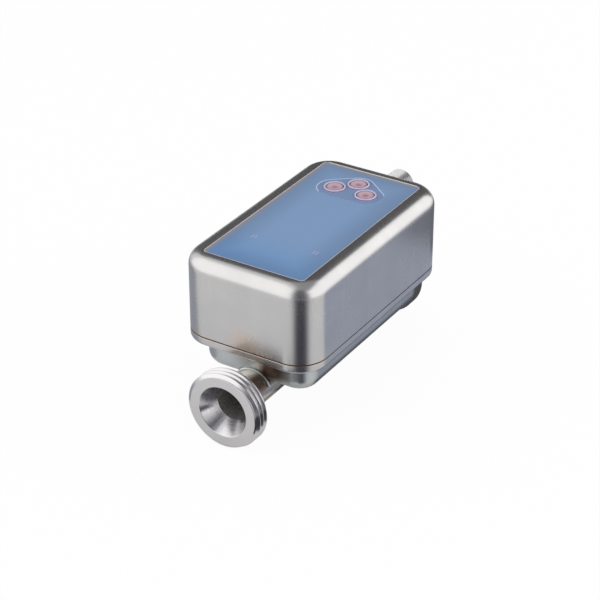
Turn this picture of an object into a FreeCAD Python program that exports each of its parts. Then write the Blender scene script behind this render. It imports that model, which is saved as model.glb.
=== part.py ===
import FreeCAD, Part
import math
import os

Vector = FreeCAD.Vector
ALONG_FLOW = Vector(1, 0, 0)
UP = Vector(0, 0, 1)

# All sizes in millimetres. The origin is on the tube's axis, midway between the two pipe faces.
# +X is the flow direction, from inlet to outlet, and +Z points up to the window.

# Flow line
face_to_face = 132.0        # between the two pipe faces
thread_od = 33.25           # one inch parallel pipe thread
thread_root_od = 30.0       # flat face of the head, inside its lead-in chamfer
thread_length = 8.1
thread_chamfer = 0.9
mouth_diameter = 21.6       # wide end of the conical mouth
tube_od = 15.4
tube_bore = 13.4
socket_depth = 1.3          # how far the tube sits in the back of a head
braze_gap = 0.05            # room for filler between the tube and what holds it

# Housing, drawn from sheet
sheet = 1.0
housing_length = 106.8
housing_width = 61.3
housing_corner = 12.8
housing_top = 54.5          # top of the rim above the tube's axis
housing_top_round = 6.3
housing_shift = 2.25        # housing's middle, towards the outlet
seam_height = 20.6          # weld line between hood and lower pan
seam_bevel = 0.25
lip_height = 2.0            # locating lip of the lower pan inside the hood
lip_depth = 1.2
lip_gap = 0.1

# Lower pan and tube tray
pan_depth = 4.3
pan_round = 1.5
tray_end_step = 7.1         # from the housing's end wall to the tray's
tray_side_step = 5.6
tray_corner = 9.0
tray_floor = 2.7            # underside of the tray above the tube's axis
tray_round = 5.8
tray_lip = 0.9              # arch round the tube, proud of the tray's ends

# Window
window_end_rim = 7.2        # from the housing's end to the opening
window_side_rim = 7.6
window_corner = 0.6
glass_gap = 0.2
glass_corner = 1.8
glass_thickness = 2.0
glass_recess = 0.2
glass_bevel = 0.3
seal_rim_gap = 0.2          # seal's edge inside the flat of the rim
seal_ledge = 2.4            # seal under the glass
seal_thickness = 1.0
seal_gap = 0.1

# Keys, placed from the housing's outlet end
key_row_inset = 25.85
key_row_y = 7.3
key_top_inset = 18.95
key_diameter = 7.0
key_gap = 0.3
key_rise = 0.6
key_dimple = 0.45
key_edge = 0.6              # flat rim round the dimple
key_flange_od = 8.6
key_flange = 0.8
key_stem_diameter = 3.0
key_stem = 3.8
key_travel = 0.5
bezel_od = 9.2
bezel_height = 0.8
switch_width = 6.0
switch_button_od = 3.4
switch_button = 0.6
switch_gap = 0.1

# Carrier frame, display and boards
carrier_thickness = 2.0
carrier_wall_gap = 1.5
display_inlet_inset = 11.85     # from the housing's inlet end
display_outlet_inset = 36.85    # from its outlet end, clear of the keys
display_width = 36.0
display_base = 4.0
display_border = 3.0
display_recess = 0.5
display_gap = 0.5
board_thickness = 1.6
board_wall_gap = 2.0
notch_gap = 1.0             # room round the connector in the main board
header_inset = 22.85        # from the housing's inlet end
header_length = 26.0        # across the housing
header_width = 5.0
header_strip = 2.5
header_socket = 8.5
header_pins = 10
header_pin_width = 0.7

# Pillars and screws of the board stack
pillar_flats = 4.0
pillar_y = 18.0
pillar_end_gap = 3.9        # from the housing's end to the end of the ledge under the pillars
lower_pillar = 8.0
middle_pillar = 14.1
screw_diameter = 2.0
screw_head_od = 3.8
screw_head = 1.2
screw_length = 4.5
stud_length = 2.5           # part of a pillar's stud that is in the pillar above
blind_spare = 0.4           # blind hole beyond the end of its stud or screw

# Ultrasonic transducers on the tube
transducer_spacing = 44.0
wedge_length = 15.6
wedge_width = 8.2
wedge_height = 15.5         # flat top above the tube's axis
wedge_flat = 5.0            # length of the flat top under the clamp
wedge_angle = 32.0
crown_gap = 0.3             # room round the wedge in the tray's arch
piezo_diameter = 8.0
piezo_thickness = 1.2
clamp_sheet = 0.8
clamp_width = 4.0
clamp_side_gap = 0.8        # from the arch to the clamp's legs
clamp_foot = 3.5

# Round connector
connector_height = 40.2
connector_reach = 18.5      # beyond the housing's end wall
connector_od = 12.0
connector_bore = 8.8
connector_back_bore = 7.8
connector_chamfer = 0.7
connector_flange_od = 16.0
connector_flange = 2.5
connector_tail = 5.0        # inside the housing
connector_gap = 0.15
connector_seal_thickness = 0.8
nut_flats = 14.0
nut_thickness = 3.2
socket_room = 9.0           # depth of the connector's mouth
pin_count = 4
pin_diameter = 1.0
pin_circle = 5.0
pin_length = 6.5
pin_collar_od = 1.6
pin_collar = 0.8
pin_tail = 2.0
pin_tip = 0.25              # bevel at the free end
pin_gap = 0.05
coding_rib_width = 1.0      # rib in the mouth that lets a plug in one way round only
coding_rib_height = 0.6
coding_rib_length = 5.0

# Heights and places that follow from the sizes above
pan_low = seam_height - pan_depth
pan_floor = pan_low + sheet
channel_radius = tube_od / 2 + braze_gap
arch_radius = channel_radius + sheet
glass_top = housing_top - glass_recess
glass_low = glass_top - glass_thickness
carrier_top = glass_low - seal_thickness
carrier_low = carrier_top - carrier_thickness
power_low = pan_floor + lower_pillar
power_top = power_low + board_thickness
main_low = power_top + middle_pillar
main_top = main_low + board_thickness
end_wall = housing_shift + housing_length / 2
start_wall = housing_shift - housing_length / 2
display_length = housing_length - display_inlet_inset - display_outlet_inset
display_x = start_wall + display_inlet_inset + display_length / 2
window_length = housing_length - 2 * window_end_rim
window_width = housing_width - 2 * window_side_rim
tray_length = housing_length - 2 * tray_end_step
tray_width = housing_width - 2 * tray_side_step
inner_length = housing_length - 2 * sheet
inner_width = housing_width - 2 * sheet
inner_corner = housing_corner - sheet
floor_reach = housing_length / 2 - pillar_end_gap
pillar_x = (tray_length / 2 - sheet + floor_reach) / 2
connector_end = end_wall + connector_reach
key_places = {
    "left": (end_wall - key_row_inset, key_row_y),
    "right": (end_wall - key_row_inset, -key_row_y),
    "top": (end_wall - key_top_inset, 0.0),
}
flow_sides = {"upstream": -1, "downstream": 1}


def upright_edges(shape):
    return [edge for edge in shape.Edges if abs(edge.tangentAt(edge.FirstParameter).z) > 0.99]


def level_edges(shape, height):
    def is_level(box):
        return abs(box.ZMin - height) < 0.001 and abs(box.ZMax - height) < 0.001
    return [edge for edge in shape.Edges if is_level(edge.BoundBox)]


def rounded_slab(length, width, corner, low, high):
    # upright slab with rounded corners on the housing's middle
    corner_point = Vector(housing_shift - length / 2, -width / 2, low)
    box = Part.makeBox(length, width, high - low, corner_point)
    return box.makeFillet(corner, upright_edges(box))


def pan_form(length, width, corner, low, high, rounding):
    slab = rounded_slab(length, width, corner, low, high)
    return slab.makeFillet(rounding, level_edges(slab, low))


def hood_form(length, width, corner, low, high, rounding):
    slab = rounded_slab(length, width, corner, low, high)
    return slab.makeFillet(rounding, level_edges(slab, high))


def slab_ring(length, width, corner, low, high, wall):
    outer = rounded_slab(length, width, corner, low, high)
    inner = rounded_slab(length - 2 * wall, width - 2 * wall, corner - wall, low - wall, high + wall)
    return outer.cut(inner)


def box_at(x, y, length, width, low, high):
    return Part.makeBox(length, width, high - low, Vector(x - length / 2, y - width / 2, low))


def rod_along_flow(radius, start, end, height=0.0):
    return Part.makeCylinder(radius, end - start, Vector(start, 0, height), ALONG_FLOW)


def post(x, y, radius, low, high):
    return Part.makeCylinder(radius, high - low, Vector(x, y, low), UP)


def turned(outline, height=0.0):
    # solid turned round an axis along the flow, from (x, radius) corners
    points = [Vector(x, 0, height + radius) for x, radius in outline]
    face = Part.Face(Part.makePolygon(points + points[:1]))
    return face.revolve(Vector(0, 0, height), ALONG_FLOW, 360)


def turned_upright(outline, x, y):
    # solid turned round an upright axis, from (radius, height) corners
    points = [Vector(radius, 0, height) for radius, height in outline]
    face = Part.Face(Part.makePolygon(points + points[:1]))
    solid = face.revolve(Vector(0, 0, 0), UP, 360)
    return solid.translated(Vector(x, y, 0))


def hexagon_prism(flats, centre, direction, height):
    corner_radius = flats / math.sqrt(3)
    points = []
    for k in range(6):
        turn = math.radians(60 * k)
        across = corner_radius * math.sin(turn)
        beside = corner_radius * math.cos(turn)
        offset = Vector(across, beside, 0) if direction == UP else Vector(0, beside, across)
        points.append(centre + offset)
    face = Part.Face(Part.makePolygon(points + points[:1]))
    return face.extrude(direction * height)


def upper_housing():
    hood = hood_form(housing_length, housing_width, housing_corner, seam_height, housing_top,
                     housing_top_round)
    hood = hood.makeChamfer(seam_bevel, level_edges(hood, seam_height))
    room = hood_form(inner_length, inner_width, inner_corner, seam_height - sheet, housing_top - sheet,
                     housing_top_round - sheet)
    opening = rounded_slab(window_length, window_width, window_corner, housing_top - 2 * sheet,
                           housing_top + sheet)
    hole = rod_along_flow(connector_od / 2 + connector_gap, end_wall - 2 * sheet, end_wall + sheet,
                          connector_height)
    return hood.cut([room, opening, hole])


def lower_pan():
    pan = pan_form(housing_length, housing_width, housing_corner, pan_low, seam_height, pan_round)
    pan = pan.makeChamfer(seam_bevel, level_edges(pan, seam_height))
    room = pan_form(inner_length, inner_width, inner_corner, pan_floor, seam_height + sheet,
                    pan_round - sheet)
    mouth = rounded_slab(tray_length - 2 * sheet, tray_width - 2 * sheet, tray_corner - sheet,
                         pan_low - sheet, pan_floor + sheet)
    # the lip is rooted in the wall below the seam and stands clear of the hood above it
    root = slab_ring(inner_length + sheet, inner_width + sheet, inner_corner + sheet / 2,
                     seam_height - lip_depth, seam_height, 1.5 * sheet + lip_gap)
    lip = slab_ring(inner_length - 2 * lip_gap, inner_width - 2 * lip_gap, inner_corner - lip_gap,
                    seam_height - lip_depth, seam_height + lip_height, sheet)
    return pan.cut([room, mouth]).fuse([root, lip]).removeSplitter()


def transducer_x(side):
    return housing_shift + side * transducer_spacing / 2


def tube_tray():
    pan = pan_form(tray_length, tray_width, tray_corner, tray_floor, pan_low, tray_round)
    room = pan_form(tray_length - 2 * sheet, tray_width - 2 * sheet, tray_corner - sheet,
                    tray_floor + sheet, pan_low + sheet, tray_round - sheet)
    # the floor is pressed up into an arch along the tube, which ends in a lip outside each end wall
    reach = tray_length / 2 + tray_lip
    arch = rod_along_flow(arch_radius, housing_shift - reach, housing_shift + reach)
    above_floor = box_at(housing_shift, 0, 2 * reach, 2 * arch_radius, tray_floor, arch_radius)
    bed = rod_along_flow(channel_radius, housing_shift - 2 * reach, housing_shift + 2 * reach)
    crowns = [box_at(transducer_x(side), 0, wedge_length + 2 * crown_gap, wedge_width + 2 * crown_gap,
                     tray_floor, wedge_height) for side in flow_sides.values()]
    return pan.cut(room).fuse(arch.common(above_floor)).cut([bed] + crowns).removeSplitter()


def tube_end():
    return face_to_face / 2 - thread_length + socket_depth


def measuring_tube():
    tube = rod_along_flow(tube_od / 2, -tube_end(), tube_end())
    return tube.cut(rod_along_flow(tube_bore / 2, -2 * tube_end(), 2 * tube_end()))


def threaded_head():
    # inlet head: flat face, lead-in chamfers, conical mouth and a socket for the tube
    face = -face_to_face / 2
    back = face + thread_length
    socket = tube_od / 2 + braze_gap
    return turned([
        (face, mouth_diameter / 2), (face, thread_root_od / 2), (face + thread_chamfer, thread_od / 2),
        (back - thread_chamfer, thread_od / 2), (back, thread_root_od / 2), (back, socket),
        (-tube_end(), socket), (-tube_end(), tube_bore / 2),
    ])


def mirrored(shape):
    return shape.mirror(Vector(0, 0, 0), ALONG_FLOW)


def front_window():
    length = window_length - 2 * glass_gap
    width = window_width - 2 * glass_gap
    glass = rounded_slab(length, width, glass_corner, glass_low, glass_top)
    glass = glass.makeChamfer(glass_bevel, level_edges(glass, glass_top))
    holes = [post(x, y, key_diameter / 2 + key_gap, glass_low - key_flange, glass_top + key_rise)
             for x, y in key_places.values()]
    return glass.cut(holes)


def window_seal():
    flat_edge = 2 * (housing_top_round + seal_rim_gap)
    ring = rounded_slab(housing_length - flat_edge, housing_width - flat_edge,
                        housing_corner - flat_edge / 2, carrier_top, housing_top - sheet)
    side_gap = glass_gap - seal_gap
    pocket = rounded_slab(window_length - 2 * side_gap, window_width - 2 * side_gap,
                          glass_corner - seal_gap, glass_low, housing_top)
    view_edge = 2 * (glass_gap + seal_ledge)
    view = rounded_slab(window_length - view_edge, window_width - view_edge, glass_corner,
                        carrier_top - sheet, housing_top)
    return ring.cut([pocket, view])


def screw_places():
    return [(housing_shift + sx * pillar_x, sy * pillar_y) for sx in (-1, 1) for sy in (-1, 1)]


def screw_outline(spare):
    # countersunk screw standing in the carrier frame, flush with its top
    head = screw_head_od / 2 + spare
    shank = screw_diameter / 2 + spare
    return [(0, carrier_top), (head, carrier_top), (shank, carrier_top - screw_head),
            (shank, carrier_top - screw_length), (0, carrier_top - screw_length)]


def carrier_frame():
    plate = rounded_slab(inner_length - 2 * carrier_wall_gap, inner_width - 2 * carrier_wall_gap,
                         inner_corner - carrier_wall_gap, carrier_low, carrier_top)
    view = box_at(display_x, 0, display_length - 2 * (display_border - display_gap),
                  display_width - 2 * (display_border - display_gap), carrier_low, carrier_top)
    keys = [post(x, y, key_flange_od / 2 + key_gap, carrier_low, carrier_top)
            for x, y in key_places.values()]
    screws = [turned_upright(screw_outline(pin_gap), x, y) for x, y in screw_places()]
    return plate.cut([view] + keys + screws)


def stack_screws():
    return Part.makeCompound([turned_upright(screw_outline(0), x, y) for x, y in screw_places()])


def pillars(low, high, takes_stud, has_stud):
    # hexagon pillars: a stud on top goes through a board into the pillar above it
    hole = screw_diameter / 2 + pin_gap
    solids = []
    for x, y in screw_places():
        pillar = hexagon_prism(pillar_flats, Vector(x, y, low), UP, high - low)
        if takes_stud:
            pillar = pillar.cut(post(x, y, hole, low, low + stud_length + blind_spare))
        if has_stud:
            stud = post(x, y, screw_diameter / 2, high, high + board_thickness + stud_length)
            pillar = pillar.fuse(stud)
        else:
            depth = screw_length + blind_spare - carrier_thickness
            pillar = pillar.cut(post(x, y, hole, high - depth, high))
        solids.append(pillar)
    return Part.makeCompound(solids)


def board(low):
    plate = rounded_slab(inner_length - 2 * board_wall_gap, inner_width - 2 * board_wall_gap,
                         inner_corner - board_wall_gap, low, low + board_thickness)
    hole = screw_diameter / 2 + pin_gap
    return plate.cut([post(x, y, hole, low, low + board_thickness) for x, y in screw_places()])


def main_board():
    tail_end = end_wall - sheet - connector_tail
    wide = nut_flats / math.sqrt(3) + notch_gap
    reach = connector_tail + sheet
    notch = box_at(tail_end - notch_gap + reach, 0, 2 * reach, 2 * wide, main_low, main_top)
    return board(main_low).cut(notch)


def board_header():
    # socket strip on the power board, pin strip under the main board and a row of pins between
    x = start_wall + header_inset
    socket = box_at(x, 0, header_width, header_length, power_top, power_top + header_socket)
    strip = box_at(x, 0, header_width, header_length, main_low - header_strip, main_low)
    pitch = header_length / header_pins
    pins = [box_at(x, (k + 0.5) * pitch - header_length / 2, header_pin_width, header_pin_width,
                   power_top + header_socket, main_low - header_strip) for k in range(header_pins)]
    return socket.fuse([strip] + pins)


def display_module():
    base = box_at(display_x, 0, display_length, display_width, main_top, main_top + display_base)
    panel = box_at(display_x, 0, display_length - 2 * display_border, display_width - 2 * display_border,
                   main_top + display_base, carrier_top - display_recess)
    return base.fuse(panel)


def key_cap(x, y):
    # cap with a round dimple, a flange that stops under the window and a stem to the switch
    top = glass_top + key_rise
    flange_low = glass_low - key_flange
    radius = key_diameter / 2
    stem = key_stem_diameter / 2
    stem_low = flange_low - key_stem
    corners = [(radius - key_edge, top), (radius, top), (radius, glass_low), (key_flange_od / 2, glass_low),
               (key_flange_od / 2, flange_low), (stem, flange_low), (stem, stem_low), (0, stem_low),
               (0, top - key_dimple)]
    points = [Vector(r, 0, z) for r, z in corners]
    sag = key_dimple * (1 - 0.5 ** 2)
    middle = Vector((radius - key_edge) / 2, 0, top - sag)
    dimple = Part.Arc(points[-1], middle, points[0]).toShape()
    outline = Part.Wire(Part.makePolygon(points).Edges + [dimple])
    solid = Part.Face(outline).revolve(Vector(0, 0, 0), UP, 360)
    return solid.translated(Vector(x, y, 0))


def key_bezel(x, y):
    # ring with a domed top on the window
    inner = key_diameter / 2 + key_gap
    outer = bezel_od / 2
    side = bezel_height / 2
    start = Vector(outer, 0, glass_top + side)
    crest = Vector((inner + outer) / 2, 0, glass_top + bezel_height)
    end = Vector(inner, 0, glass_top + side)
    foot = [end, Vector(inner, 0, glass_top), Vector(outer, 0, glass_top), start]
    outline = Part.Wire(Part.makePolygon(foot).Edges + [Part.Arc(start, crest, end).toShape()])
    ring = Part.Face(outline).revolve(Vector(0, 0, 0), UP, 360)
    return ring.translated(Vector(x, y, 0))


def key_switch(x, y):
    top = glass_low - key_flange - key_stem - key_travel - switch_gap
    body = box_at(x, y, switch_width, switch_width, main_top, top - switch_button)
    return body.fuse(post(x, y, switch_button_od / 2, top - switch_button, top))


def wedge_slope_end(side):
    # far end of the sloped face, which falls away from the middle of the tube
    run = wedge_length - wedge_flat
    drop = run * math.tan(math.radians(wedge_angle))
    return transducer_x(side) + side * wedge_length / 2, wedge_height - drop


def wedge_slope_start(side):
    return transducer_x(side) - side * (wedge_length / 2 - wedge_flat), wedge_height


def coupling_wedge(side):
    inner_x = transducer_x(side) - side * wedge_length / 2
    outer_x, outer_z = wedge_slope_end(side)
    flat_x, flat_z = wedge_slope_start(side)
    corners = [(inner_x, 0), (inner_x, wedge_height), (flat_x, flat_z), (outer_x, outer_z), (outer_x, 0)]
    points = [Vector(x, -wedge_width / 2, z) for x, z in corners]
    block = Part.Face(Part.makePolygon(points + points[:1])).extrude(Vector(0, wedge_width, 0))
    return block.cut(rod_along_flow(channel_radius, -face_to_face, face_to_face))


def piezo_disc(side):
    start_x, start_z = wedge_slope_start(side)
    end_x, end_z = wedge_slope_end(side)
    angle = math.radians(wedge_angle)
    normal = Vector(side * math.sin(angle), 0, math.cos(angle))
    seat = Vector((start_x + end_x) / 2, 0, (start_z + end_z) / 2)
    return Part.makeCylinder(piezo_diameter / 2, piezo_thickness, seat, normal)


def wedge_clamp(side):
    # strap bent over the wedge, with two legs and two feet on the tray's floor
    floor = tray_floor + sheet
    leg = arch_radius + clamp_side_gap
    top = wedge_height + clamp_sheet
    half = [(leg + clamp_foot, floor), (leg + clamp_foot, floor + clamp_sheet),
            (leg + clamp_sheet, floor + clamp_sheet), (leg + clamp_sheet, top)]
    under = [(leg, wedge_height), (leg, floor)]
    outline = half + [(-y, z) for y, z in reversed(half)]
    outline += [(-y, z) for y, z in reversed(under)] + under
    x = transducer_x(side) - side * (wedge_length - wedge_flat) / 2 - clamp_width / 2
    points = [Vector(x, y, z) for y, z in outline]
    return Part.Face(Part.makePolygon(points + points[:1])).extrude(Vector(clamp_width, 0, 0))


def connector_shell():
    # threaded stub outside, flange on its seal, and a tail through the wall for the nut
    radius = connector_od / 2
    tail = end_wall - sheet - connector_tail
    flange = end_wall + connector_seal_thickness
    shoulder = connector_end - socket_room - insert_length()
    bore = connector_bore / 2
    back_bore = connector_back_bore / 2
    return turned([
        (tail, back_bore), (tail, radius), (flange, radius), (flange, connector_flange_od / 2),
        (flange + connector_flange, connector_flange_od / 2), (flange + connector_flange, radius),
        (connector_end - connector_chamfer, radius), (connector_end, radius - connector_chamfer),
        (connector_end, bore), (shoulder, bore), (shoulder, back_bore),
    ], connector_height)


def insert_length():
    return connector_reach - socket_room


def connector_seal():
    inner = connector_od / 2 + connector_gap
    outer = connector_flange_od / 2
    far = end_wall + connector_seal_thickness
    return turned([(end_wall, inner), (end_wall, outer), (far, outer), (far, inner)], connector_height)


def connector_nut():
    start = end_wall - sheet - nut_thickness
    centre = Vector(start, 0, connector_height)
    hexagon = hexagon_prism(nut_flats, centre, ALONG_FLOW, nut_thickness)
    hole = connector_od / 2 + connector_gap
    return hexagon.cut(rod_along_flow(hole, start, end_wall, connector_height))


def pin_places():
    turns = [2 * math.pi * (k + 0.5) / pin_count for k in range(pin_count)]
    radius = pin_circle / 2
    return [(radius * math.cos(turn), connector_height + radius * math.sin(turn)) for turn in turns]


def connector_insert():
    face = connector_end - socket_room
    start = face - insert_length()
    rib_end = face + coding_rib_length
    radius = connector_bore / 2 - connector_gap
    body = rod_along_flow(radius, start, face, connector_height)
    hole = rod_along_flow(pin_diameter / 2 + pin_gap, start, face)
    holes = [hole.translated(Vector(0, y, z)) for y, z in pin_places()]
    # the coding rib stands on the insert's face and follows the wall of the mouth
    sleeve = rod_along_flow(radius, face, rib_end, connector_height)
    core = rod_along_flow(radius - coding_rib_height, face, rib_end, connector_height)
    strip = box_at((face + rib_end) / 2, 0, coding_rib_length, coding_rib_width, connector_height,
                   connector_height + connector_bore)
    rib = sleeve.cut(core).common(strip)
    return body.cut(holes).fuse(rib)


def connector_pins():
    face = connector_end - socket_room
    back = face - insert_length()
    radius = pin_diameter / 2
    collar = pin_collar_od / 2
    pin = turned([
        (back - pin_collar - pin_tail, 0), (back - pin_collar - pin_tail, radius),
        (back - pin_collar, radius), (back - pin_collar, collar), (back, collar), (back, radius),
        (face + pin_length - pin_tip, radius), (face + pin_length, radius - pin_tip), (face + pin_length, 0),
    ])
    return Part.makeCompound([pin.translated(Vector(0, y, z)) for y, z in pin_places()])


def all_parts():
    parts = {
        "upper_housing": upper_housing(),
        "lower_pan": lower_pan(),
        "tube_tray": tube_tray(),
        "measuring_tube": measuring_tube(),
        "inlet_fitting": threaded_head(),
        "outlet_fitting": mirrored(threaded_head()),
        "front_window": front_window(),
        "window_seal": window_seal(),
        "carrier_frame": carrier_frame(),
        "display_module": display_module(),
        "main_board": main_board(),
        "power_board": board(power_low),
        "board_header": board_header(),
        "lower_pillars": pillars(pan_floor, power_low, takes_stud=False, has_stud=True),
        "middle_pillars": pillars(power_top, main_low, takes_stud=True, has_stud=True),
        "top_pillars": pillars(main_top, carrier_low, takes_stud=True, has_stud=False),
        "stack_screws": stack_screws(),
        "connector_shell": connector_shell(),
        "connector_seal": connector_seal(),
        "connector_nut": connector_nut(),
        "connector_insert": connector_insert(),
        "connector_pins": connector_pins(),
    }
    for name, (x, y) in key_places.items():
        parts["key_" + name] = key_cap(x, y)
        parts["key_bezel_" + name] = key_bezel(x, y)
        parts["key_switch_" + name] = key_switch(x, y)
    for name, side in flow_sides.items():
        parts["wedge_" + name] = coupling_wedge(side)
        parts["piezo_" + name] = piezo_disc(side)
        parts["clamp_" + name] = wedge_clamp(side)
    return parts


os.makedirs("parts", exist_ok=True)
for name, shape in all_parts().items():
    shape.exportStep(f"parts/{name}.step")
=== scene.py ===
import math

import bpy
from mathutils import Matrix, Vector


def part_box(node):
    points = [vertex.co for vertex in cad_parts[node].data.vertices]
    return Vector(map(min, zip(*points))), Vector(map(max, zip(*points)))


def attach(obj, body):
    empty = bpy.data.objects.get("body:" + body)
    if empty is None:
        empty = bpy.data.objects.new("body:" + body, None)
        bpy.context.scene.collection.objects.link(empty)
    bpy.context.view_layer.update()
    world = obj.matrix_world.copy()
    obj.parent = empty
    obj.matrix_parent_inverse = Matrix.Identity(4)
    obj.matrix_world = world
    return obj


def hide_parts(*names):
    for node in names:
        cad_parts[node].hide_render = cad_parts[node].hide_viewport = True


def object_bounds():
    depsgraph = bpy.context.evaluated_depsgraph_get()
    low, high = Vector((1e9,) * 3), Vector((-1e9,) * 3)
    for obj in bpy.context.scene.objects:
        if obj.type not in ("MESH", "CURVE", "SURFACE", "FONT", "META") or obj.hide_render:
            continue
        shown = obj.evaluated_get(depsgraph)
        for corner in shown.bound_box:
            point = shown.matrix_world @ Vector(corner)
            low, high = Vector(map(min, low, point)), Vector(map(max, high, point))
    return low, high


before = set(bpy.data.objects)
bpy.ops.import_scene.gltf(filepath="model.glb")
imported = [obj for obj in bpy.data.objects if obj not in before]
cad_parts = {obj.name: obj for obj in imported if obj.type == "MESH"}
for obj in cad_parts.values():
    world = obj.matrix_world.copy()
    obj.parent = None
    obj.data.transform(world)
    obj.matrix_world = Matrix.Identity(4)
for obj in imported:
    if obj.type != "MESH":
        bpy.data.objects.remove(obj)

mm = 0.001
hair = 0.01 * mm  # how near a point must be to count as lying on a plane
mergeGap = 0.002 * mm
cutGap = 0.0001 * mm  # bisect's own threshold is coarser than the sheet's edges
overcut = 5 * mm  # how far a cutter reaches past what it cuts
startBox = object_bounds()
print("frame loaded")


# working by operator

def deselect():
    bpy.ops.object.select_all(action="DESELECT")


def makeActive(piece):
    deselect()
    piece.select_set(True)
    bpy.context.view_layer.objects.active = piece


def openEdit(piece, picks, action="DESELECT"):
    makeActive(piece)
    bpy.ops.object.mode_set(mode="EDIT")
    bpy.ops.mesh.select_mode(type=picks)
    bpy.ops.mesh.select_all(action=action)


def closeEdit():
    bpy.ops.object.mode_set(mode="OBJECT")


def pickEdges(piece, wanted):
    openEdit(piece, "EDGE")
    closeEdit()
    points = piece.data.vertices
    for edge in piece.data.edges:
        edge.select = wanted(points[edge.vertices[0]].co, points[edge.vertices[1]].co)
    bpy.ops.object.mode_set(mode="EDIT")


def roundEdges(piece, wanted, radius, steps):
    pickEdges(piece, wanted)
    bpy.ops.mesh.bevel(offset=radius, offset_type="OFFSET", segments=steps, profile=0.5, clamp_overlap=False)
    closeEdit()


def tidyMesh(piece):
    openEdit(piece, "VERT", "SELECT")
    bpy.ops.mesh.remove_doubles(threshold=mergeGap)
    bpy.ops.mesh.normals_make_consistent(inside=False)
    closeEdit()


def applyModifier(piece, modifier):
    makeActive(piece)
    bpy.ops.object.modifier_apply(modifier=modifier.name)


def combine(piece, other, operation):
    cut = piece.modifiers.new("combine", "BOOLEAN")
    cut.operation = operation
    cut.object = other
    applyModifier(piece, cut)
    bpy.data.objects.remove(other)


def joinPieces(pieces):
    makeActive(pieces[0])
    for other in pieces[1:]:
        other.select_set(True)
    bpy.ops.object.join()
    return pieces[0]


def softenEdges(piece, width, steps=2, angle=50):
    bevel = piece.modifiers.new("soften", "BEVEL")
    bevel.width = width
    bevel.segments = steps
    bevel.limit_method = "ANGLE"
    bevel.angle_limit = math.radians(angle)
    bevel.use_clamp_overlap = True
    applyModifier(piece, bevel)


def smoothFaces(piece, angle):
    makeActive(piece)
    bpy.ops.object.shade_smooth_by_angle(angle=math.radians(angle))
    even = piece.modifiers.new("even", "WEIGHTED_NORMAL")  # flat faces stay flat beside round ones
    even.keep_sharp = True
    applyModifier(piece, even)


def takeNew(name):
    piece = bpy.context.object
    piece.name = name
    bpy.ops.object.transform_apply(location=True, rotation=True, scale=True)
    return piece


def addBox(name, low, high):
    deselect()
    bpy.ops.mesh.primitive_cube_add(size=1, location=(low + high) / 2)
    bpy.context.object.scale = high - low
    return takeNew(name)


def addRod(name, start, end, radius, height=0.0, steps=128):
    deselect()
    middle = ((start + end) / 2, 0, height)
    bpy.ops.mesh.primitive_cylinder_add(vertices=steps, radius=radius, depth=end - start, location=middle,
                                        rotation=(0, math.pi / 2, 0))
    return takeNew(name)


def addPost(name, x, y, low, high, radius, steps=96):
    deselect()
    bpy.ops.mesh.primitive_cylinder_add(vertices=steps, radius=radius, depth=high - low,
                                        location=(x, y, (low + high) / 2))
    return takeNew(name)


def uprightBlock(name, low, high, corner, steps=16):
    block = addBox(name, low, high)
    tall = (high.z - low.z) / 2
    roundEdges(block, lambda a, b: abs(a.z - b.z) > tall, corner, steps)
    return block


def drawnBlock(name, low, high, corner, rim, rimHeight, steps=12):
    # upright corners first, then the whole rim at one height
    block = uprightBlock(name, low, high, corner)
    roundEdges(block, lambda a, b: max(abs(a.z - rimHeight), abs(b.z - rimHeight)) < hair, rim, steps)
    return block


def drawLine(name, points):
    # one vertex, extruded from point to point
    deselect()
    bpy.ops.mesh.primitive_plane_add(size=mm, location=points[0])
    line = takeNew(name)
    openEdit(line, "VERT", "SELECT")
    bpy.ops.mesh.merge(type="CENTER")
    for here, there in zip(points, points[1:]):
        bpy.ops.mesh.extrude_region_move(TRANSFORM_OT_translate={"value": there - here})
    closeEdit()
    return line


def fillOutline(name, points):
    face = drawLine(name, points + points[:1])
    tidyMesh(face)
    openEdit(face, "EDGE", "SELECT")
    bpy.ops.mesh.edge_face_add()
    closeEdit()
    return face


def raiseUp(piece, height):
    openEdit(piece, "VERT", "SELECT")
    bpy.ops.mesh.extrude_region_move(TRANSFORM_OT_translate={"value": (0, 0, height)})
    closeEdit()


def turnRound(name, outline, centre, along, steps):
    # closed outline of (place along the axis, radius), spun round the axis
    axis = Vector(along)
    side = Vector((0, 0, 1)) if axis.x else Vector((1, 0, 0))
    points = [Vector(centre) + axis * place + side * radius for place, radius in outline]
    line = drawLine(name, points + points[:1])
    openEdit(line, "VERT", "SELECT")
    bpy.ops.mesh.spin(steps=steps, angle=2 * math.pi, center=centre, axis=axis)
    closeEdit()
    tidyMesh(line)
    return line


def arcPoints(centre, radius, fromAngle, toAngle, steps):
    turns = [math.radians(fromAngle + (toAngle - fromAngle) * k / steps) for k in range(steps + 1)]
    return [(centre[0] + radius * math.cos(turn), centre[1] + radius * math.sin(turn)) for turn in turns]


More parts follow.
